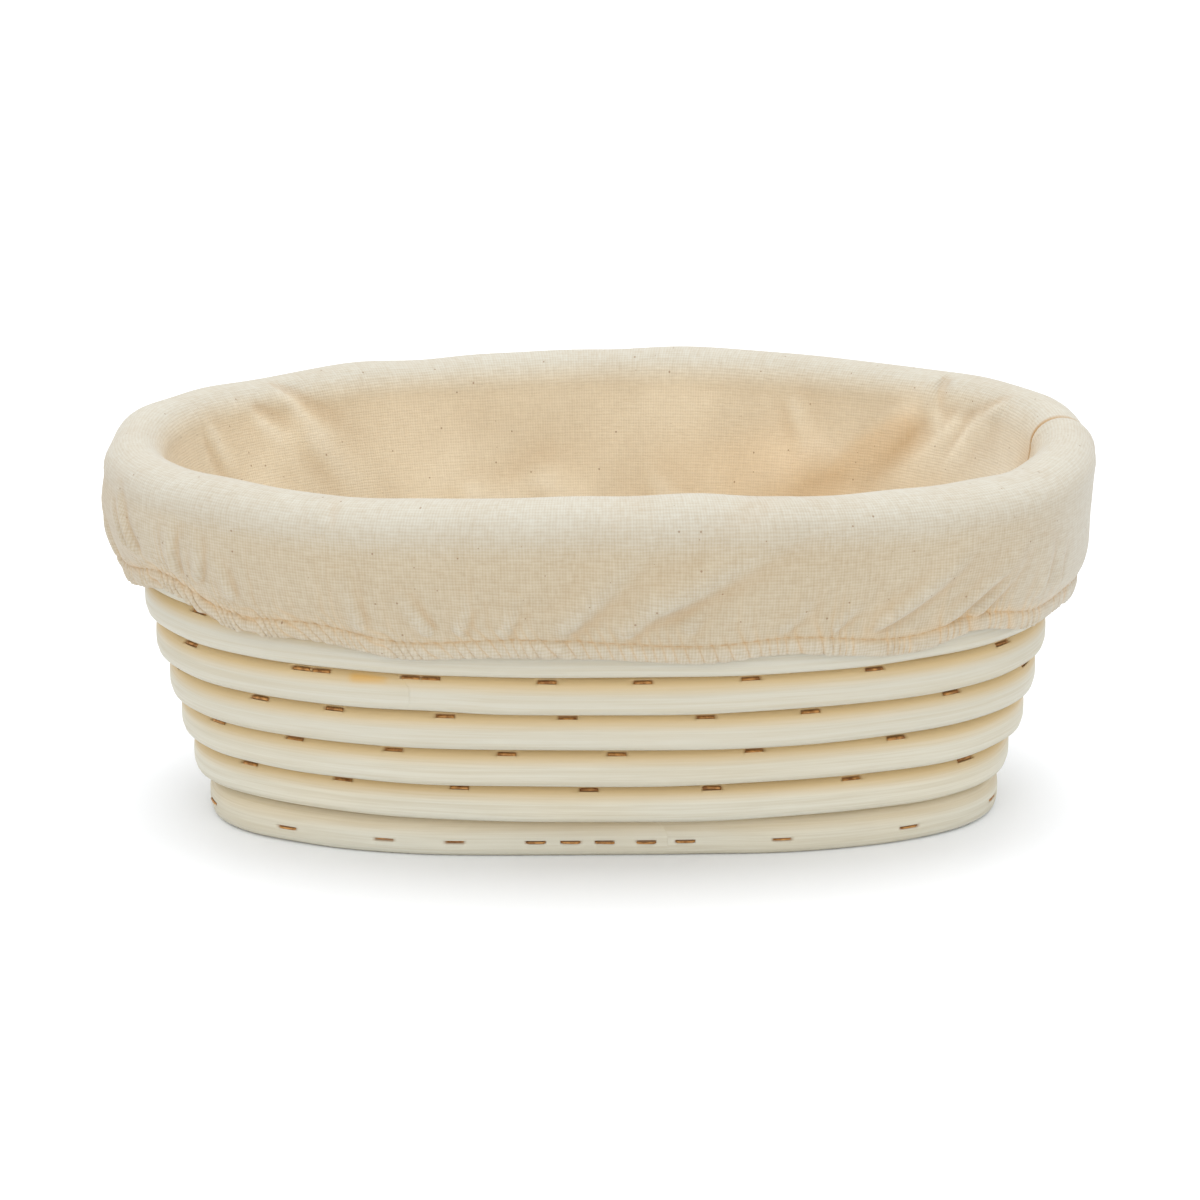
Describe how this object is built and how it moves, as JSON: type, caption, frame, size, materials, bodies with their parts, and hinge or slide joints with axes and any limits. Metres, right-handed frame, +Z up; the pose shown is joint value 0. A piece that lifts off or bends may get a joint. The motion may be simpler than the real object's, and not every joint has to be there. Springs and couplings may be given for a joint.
{
  "type": "proofing basket",
  "caption": "Oval bread proofing basket of stapled cane hoops on a cane slat floor, with a lift-out cotton liner that folds over the rim to an elastic hem.",
  "frame": {"origin": "middle of the basket's footprint, on the surface that it stands on", "axes": "+X along the basket's length, +Y towards its back wall, +Z up out of the mouth"},
  "size_m": [0.2234, 0.1356, 0.0888],
  "materials": {
    "cane": "bare peeled rattan cane, pale straw with tan streaks and fine lengthwise fibres",
    "floor_cane": "bare peeled rattan cane, straight lengths",
    "staple_wire": "fine brown-gold wire, dulled in its slot",
    "liner_cotton": "unbleached plain-weave cotton with small dark seed specks",
    "elastic": "flat white elastic braid"
  },
  "bodies": {
    "basket": {"cane_hoop_1": "cane", "cane_hoop_2": "cane", "cane_hoop_3": "cane", "cane_hoop_4": "cane", "cane_hoop_5": "cane", "cane_hoop_6": "cane", "cane_hoop_7": "cane", "cane_hoop_8": "cane", "cane_hoop_9": "cane", "floor_slat_1": "floor_cane", "floor_slat_2": "floor_cane", "floor_slat_3": "floor_cane", "floor_slat_4": "floor_cane", "floor_slat_5": "floor_cane", "floor_slat_6": "floor_cane", "hoop_staple_1_1": "staple_wire", "hoop_staple_1_2": "staple_wire", "hoop_staple_1_3": "staple_wire", "hoop_staple_1_4": "staple_wire", "hoop_staple_2_1": "staple_wire", "hoop_staple_2_2": "staple_wire", "hoop_staple_2_3": "staple_wire", "hoop_staple_2_4": "staple_wire", "hoop_staple_3_1": "staple_wire", "hoop_staple_3_2": "staple_wire", "hoop_staple_3_3": "staple_wire", "hoop_staple_3_4": "staple_wire", "hoop_staple_4_1": "staple_wire", "hoop_staple_4_2": "staple_wire", "hoop_staple_4_3": "staple_wire", "hoop_staple_4_4": "staple_wire", "hoop_staple_5_1": "staple_wire", "hoop_staple_5_2": "staple_wire", "hoop_staple_5_3": "staple_wire", "hoop_staple_5_4": "staple_wire", "hoop_staple_6_1": "staple_wire", "hoop_staple_6_2": "staple_wire", "hoop_staple_6_3": "staple_wire", "hoop_staple_6_4": "staple_wire", "hoop_staple_7_1": "staple_wire", "hoop_staple_7_2": "staple_wire", "hoop_staple_7_3": "staple_wire", "hoop_staple_7_4": "staple_wire", "hoop_staple_8_1": "staple_wire", "hoop_staple_8_2": "staple_wire", "hoop_staple_8_3": "staple_wire", "hoop_staple_8_4": "staple_wire", "lap_staple_1_1": "staple_wire", "lap_staple_1_2": "staple_wire", "lap_staple_5_1": "staple_wire", "lap_staple_5_2": "staple_wire", "floor_staple_1": "staple_wire", "floor_staple_2": "staple_wire", "floor_staple_3": "staple_wire", "floor_staple_4": "staple_wire", "floor_staple_5": "staple_wire"},
    "liner": {"liner_wall": "liner_cotton", "liner_floor": "liner_cotton", "liner_skirt": "liner_cotton", "hem_elastic": "elastic"}
  },
  "joints": [
    {"name": "liner_lift", "type": "slide", "parent": "basket", "child": "liner", "axis": [0, 0, 1], "range_m": [0, 0.1], "deforming": ["liner_skirt", "hem_elastic"]}
  ]
}
